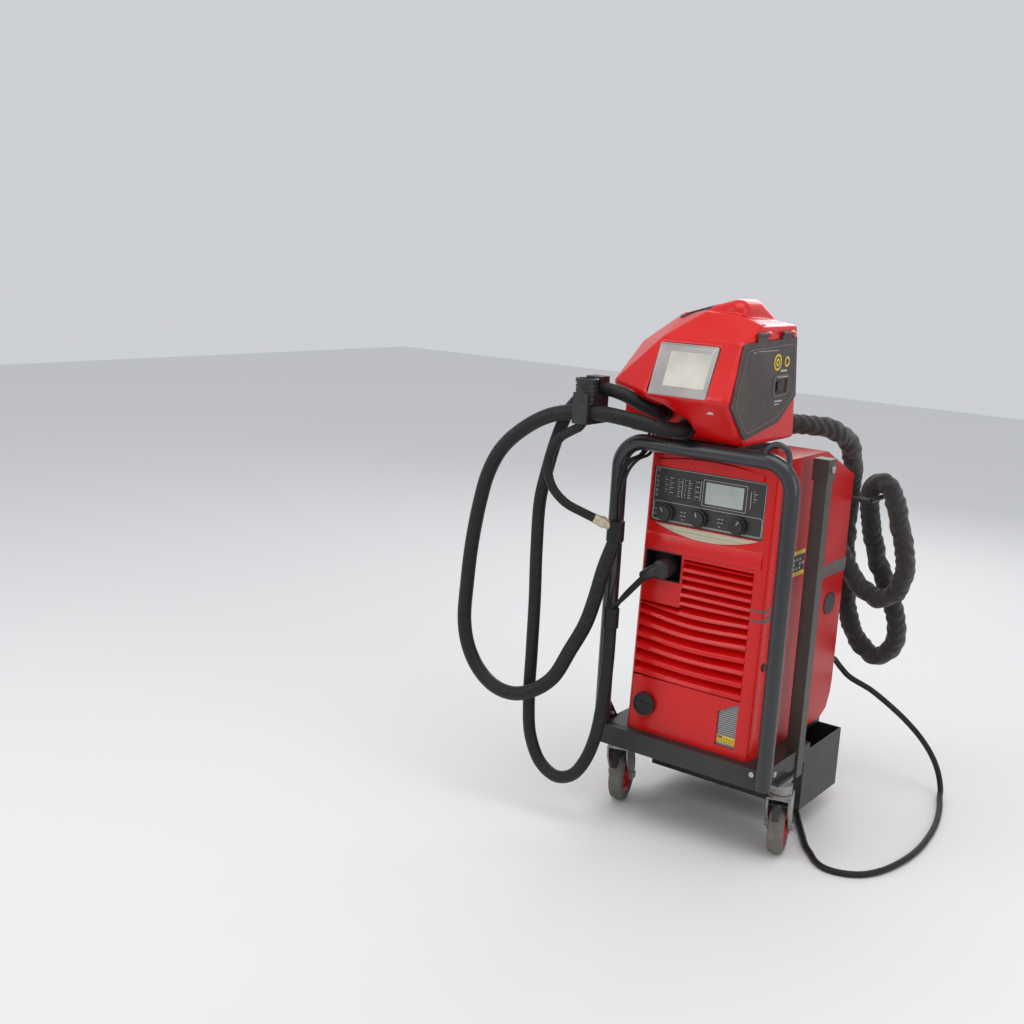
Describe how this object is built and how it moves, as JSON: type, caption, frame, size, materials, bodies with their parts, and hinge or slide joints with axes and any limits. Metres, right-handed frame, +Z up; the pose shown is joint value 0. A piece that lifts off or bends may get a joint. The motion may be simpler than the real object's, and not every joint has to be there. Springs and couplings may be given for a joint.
{
  "type": "wheeled welding power source with wire feeder",
  "caption": "Red welding power source with cooler and wire feeder on a black tube-framed trolley, with a control panel, louvred front, casters, hose loops and a mains cable.",
  "frame": {"origin": "on the floor, under the centre of the machine without its free hoses and cables", "axes": "+Z up, -Y out of the control panel, +X to the right of someone facing the panel from behind it"},
  "size_m": [0.9534, 0.912, 1.1709],
  "materials": {
    "black_steel": "satin powder coat",
    "frame_paint": "satin powder coat, scuffed",
    "post_paint": "satin powder coat, dusty",
    "zinc": "dull zinc",
    "caster_steel": "dull zinc, dusty",
    "hub_red": "moulded",
    "tyre": "worn grey rubber",
    "black_plastic": "moulded",
    "red_sheet": "gloss powder coat",
    "red_plastic": "moulded, glossy",
    "panel": "printed membrane",
    "lcd": "pale display",
    "trim": "brushed, warm",
    "window_grey": "ribbed translucent",
    "tank": "translucent",
    "board": "circuit board",
    "copper": "varnished winding",
    "window_lens": "smoked polycarbonate",
    "door": "fine texture",
    "spool": "moulded",
    "alloy": "machined",
    "roll_steel": "ground",
    "hose_rubber": "matt, dusty",
    "sleeve": "woven textile sleeve",
    "plug_red": "moulded"
  },
  "bodies": {
    "machine": {"trolley_tray": "black_steel", "frame_tube": "frame_paint", "rear_posts": "post_paint", "rear_box": "black_steel", "frame_bolts": "zinc", "caster_plates": "caster_steel", "rear_axle": "zinc", "source_chassis": "black_steel", "source_cover": "red_sheet", "source_rear": "red_sheet", "source_front": "red_plastic", "louvre_panel": "red_plastic", "control_panel": "panel", "display": "lcd", "silver_trim": "trim", "socket_recess": "black_plastic", "level_window": "window_grey", "side_plugs": "black_plastic", "cable_gland": "black_plastic", "cable_hanger": "black_steel", "coolant_tank": "tank", "inverter_board": "board", "transformer": "copper", "feeder_mount": "black_plastic", "feeder_shell": "red_plastic", "feeder_window": "window_lens", "feeder_display": "lcd", "drive_block": "alloy", "hose_clamp": "black_plastic", "main_hose": "hose_rubber", "second_hose": "hose_rubber", "small_hose": "hose_rubber", "conduit_boots": "hose_rubber", "mains_cable": "hose_rubber", "mains_coil": "hose_rubber", "mains_plug": "plug_red", "hose_pack": "sleeve"},
    "swivel_left": {"fork_left": "caster_steel"},
    "swivel_right": {"fork_right": "caster_steel"},
    "wheel_left": {"hub_left": "hub_red", "tyre_left": "tyre"},
    "wheel_right": {"hub_right": "hub_red", "tyre_right": "tyre"},
    "brake_lever_left": {"brake_left": "black_plastic"},
    "brake_lever_right": {"brake_right": "black_plastic"},
    "rear_wheel_left": {"rear_hub_left": "hub_red", "rear_tyre_left": "tyre"},
    "rear_wheel_right": {"rear_hub_right": "hub_red", "rear_tyre_right": "tyre"},
    "dial_left": {"knob_left": "black_plastic"},
    "dial_middle": {"knob_middle": "black_plastic"},
    "dial_right": {"knob_right": "black_plastic"},
    "cap": {"filler_cap": "black_plastic"},
    "switch": {"mains_switch": "black_plastic"},
    "fan_rotor": {"fan": "black_plastic"},
    "door": {"side_door": "door"},
    "catch": {"door_latch": "black_plastic"},
    "spool": {"wire_spool": "spool"},
    "lower_roll": {"drive_roll_lower": "roll_steel"},
    "upper_roll": {"drive_roll_upper": "roll_steel"}
  },
  "joints": [
    {"name": "caster_swivel_left", "type": "hinge", "parent": "machine", "child": "swivel_left", "pos_m": [-0.19532, -0.14629, 0.15], "axis": [0, 0, 1], "continuous": true},
    {"name": "caster_wheel_left", "type": "hinge", "parent": "swivel_left", "child": "wheel_left", "pos_m": [-0.20359, -0.11745, 0.0625], "axis": [0.9613, 0.2756, 0], "continuous": true},
    {"name": "caster_brake_left", "type": "hinge", "parent": "swivel_left", "child": "brake_lever_left", "pos_m": [-0.19146, -0.15975, 0.124], "axis": [0.9613, 0.2756, 0], "range_deg": [0, 12]},
    {"name": "caster_swivel_right", "type": "hinge", "parent": "machine", "child": "swivel_right", "pos_m": [0.20468, -0.14629, 0.15], "axis": [0, 0, 1], "continuous": true},
    {"name": "caster_wheel_right", "type": "hinge", "parent": "swivel_right", "child": "wheel_right", "pos_m": [0.19641, -0.11745, 0.0625], "axis": [0.9613, 0.2756, 0], "continuous": true},
    {"name": "caster_brake_right", "type": "hinge", "parent": "swivel_right", "child": "brake_lever_right", "pos_m": [0.20854, -0.15975, 0.124], "axis": [0.9613, 0.2756, 0], "range_deg": [0, 12]},
    {"name": "rear_wheel_spin_left", "type": "hinge", "parent": "machine", "child": "rear_wheel_left", "pos_m": [-0.10532, 0.25571, 0.0625], "axis": [1, 0, 0], "continuous": true},
    {"name": "rear_wheel_spin_right", "type": "hinge", "parent": "machine", "child": "rear_wheel_right", "pos_m": [0.11468, 0.25571, 0.0625], "axis": [1, 0, 0], "continuous": true},
    {"name": "dial_turn_left", "type": "hinge", "parent": "machine", "child": "dial_left", "pos_m": [-0.09632, -0.20578, 0.71295], "axis": [0, -0.9993, 0.0377], "range_deg": [-135, 135]},
    {"name": "dial_turn_middle", "type": "hinge", "parent": "machine", "child": "dial_middle", "pos_m": [-0.01632, -0.20578, 0.71295], "axis": [0, -0.9993, 0.0377], "range_deg": [-135, 135]},
    {"name": "dial_turn_right", "type": "hinge", "parent": "machine", "child": "dial_right", "pos_m": [0.07468, -0.20578, 0.71295], "axis": [0, -0.9993, 0.0377], "range_deg": [-135, 135]},
    {"name": "cap_turn", "type": "hinge", "parent": "machine", "child": "cap", "pos_m": [-0.10132, -0.21891, 0.28514], "axis": [0, -0.9993, 0.0377], "range_deg": [0, 90]},
    {"name": "switch_turn", "type": "hinge", "parent": "machine", "child": "switch", "pos_m": [-0.08532, 0.20871, 0.7], "axis": [0, 1, 0], "range_deg": [0, 90]},
    {"name": "fan_spin", "type": "hinge", "parent": "machine", "child": "fan_rotor", "pos_m": [0.00468, 0.16771, 0.52], "axis": [0, 1, 0], "continuous": true},
    {"name": "door_hinge", "type": "hinge", "parent": "machine", "child": "door", "pos_m": [0.09268, -0.13129, 1.106], "axis": [0, -1, 0], "range_deg": [0, 100]},
    {"name": "catch_slide", "type": "slide", "parent": "door", "child": "catch", "axis": [0, 1, 0], "range_m": [0, 0.012], "stiffness_N_per_m": 150},
    {"name": "spool_spin", "type": "hinge", "parent": "machine", "child": "spool", "pos_m": [0.01468, -0.11129, 1], "axis": [1, 0, 0], "continuous": true},
    {"name": "lower_roll_spin", "type": "hinge", "parent": "machine", "child": "lower_roll", "pos_m": [-0.07732, -0.15629, 0.975], "axis": [1, 0, 0], "continuous": true},
    {"name": "upper_roll_spin", "type": "hinge", "parent": "machine", "child": "upper_roll", "pos_m": [-0.07732, -0.15629, 1.005], "axis": [1, 0, 0], "continuous": true}
  ],
  "couplings": [
    {"joint": "upper_roll_spin", "follows": "lower_roll_spin", "ratio": -1}
  ]
}
